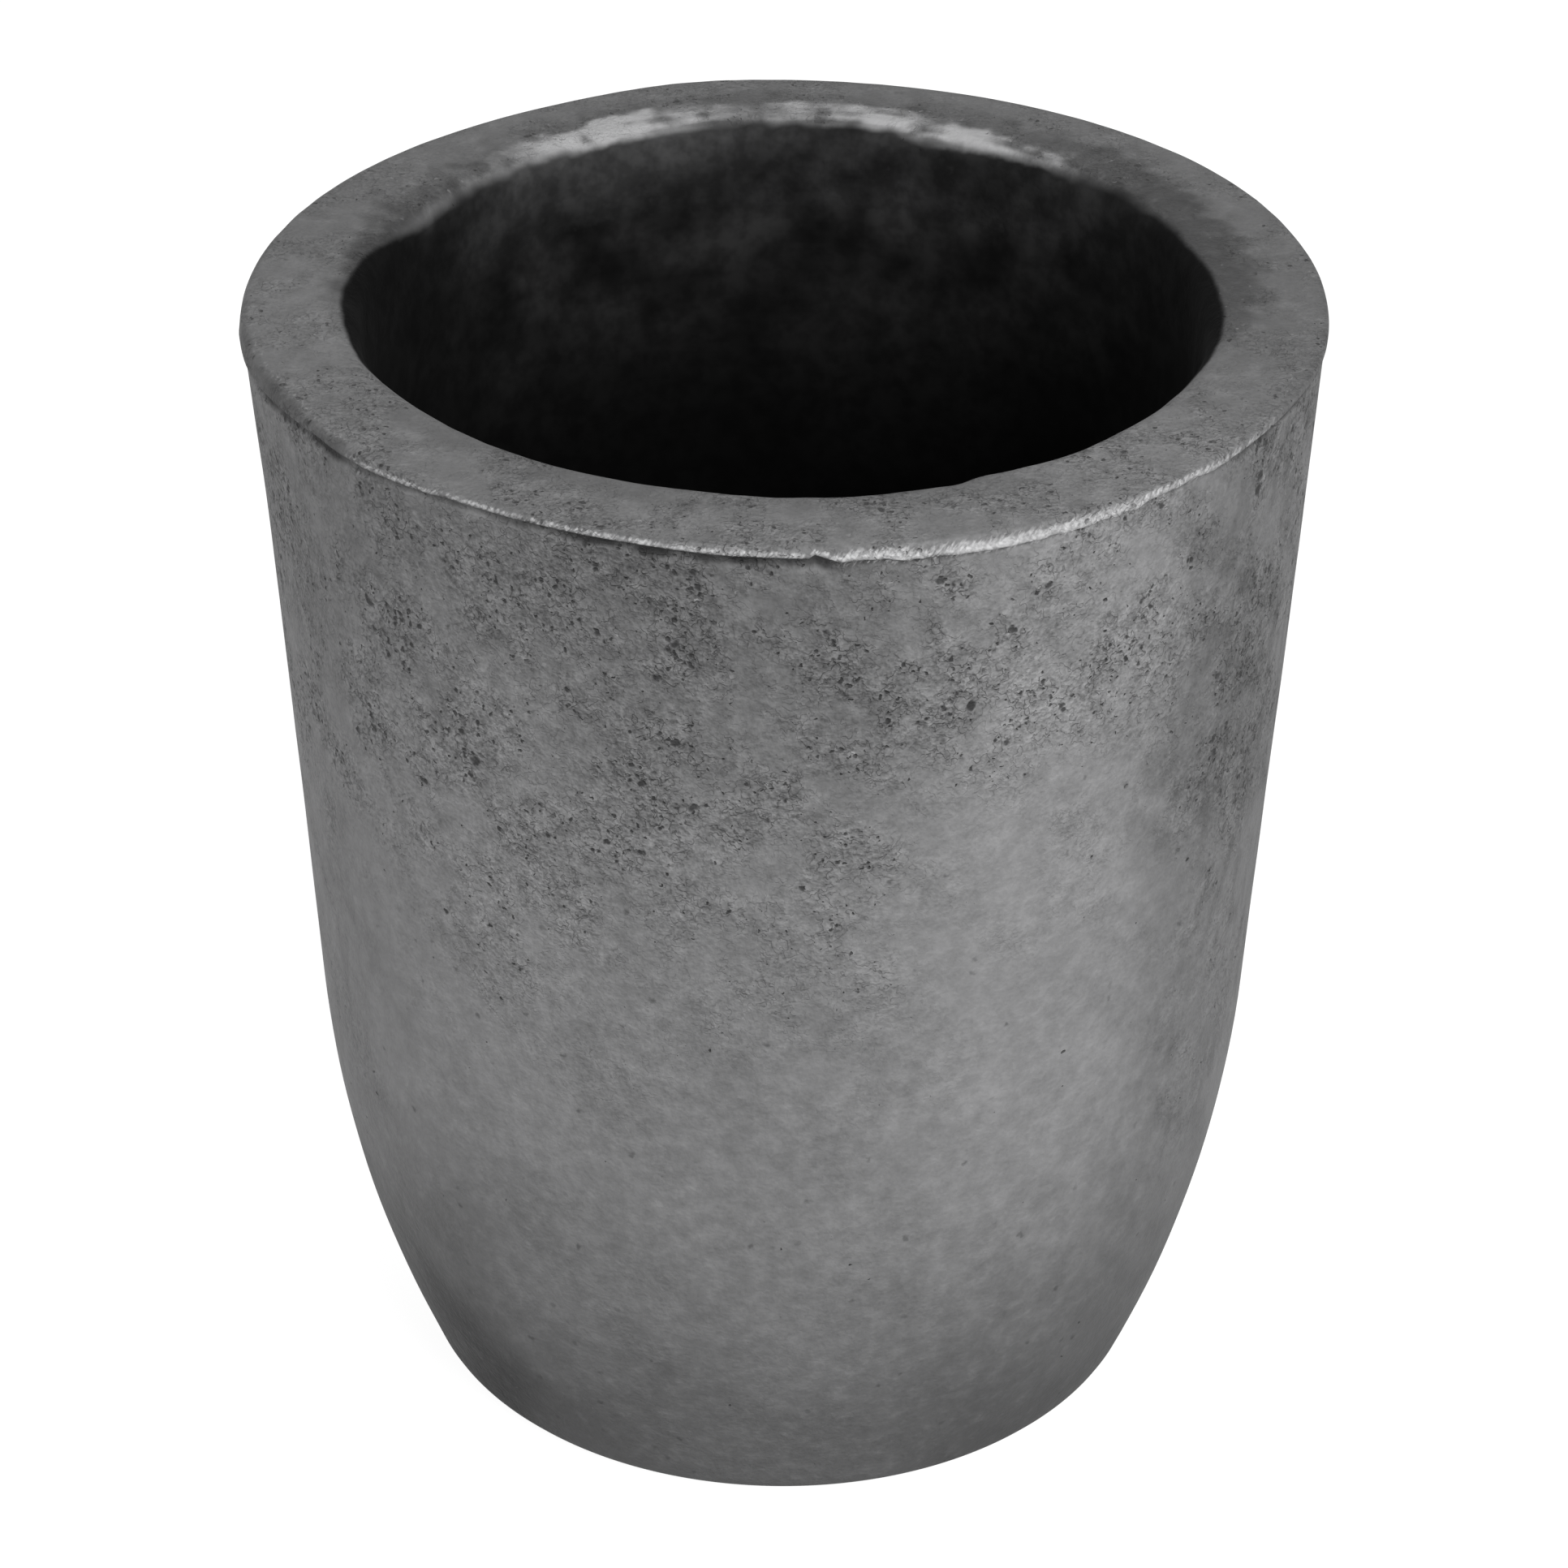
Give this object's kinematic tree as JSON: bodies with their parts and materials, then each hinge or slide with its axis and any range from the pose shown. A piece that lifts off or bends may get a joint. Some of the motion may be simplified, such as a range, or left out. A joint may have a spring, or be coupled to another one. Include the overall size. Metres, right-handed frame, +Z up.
{
  "type": "graphite crucible",
  "caption": "Thick-walled clay-graphite crucible: tapered round cup with a rounded bowl, flat foot and thin raised lip, for melting and pouring metal.",
  "frame": {"origin": "centre of the flat foot, on the surface that the crucible stands on", "axes": "+Z up along the axis of revolution, from the foot to the open rim; X and Y are level and alike"},
  "size_m": [0.118, 0.118, 0.132],
  "materials": {
    "graphite": "matte fired clay-graphite with a faint graphite sheen"
  },
  "bodies": {
    "root": {"crucible": "graphite"}
  },
  "joints": []
}
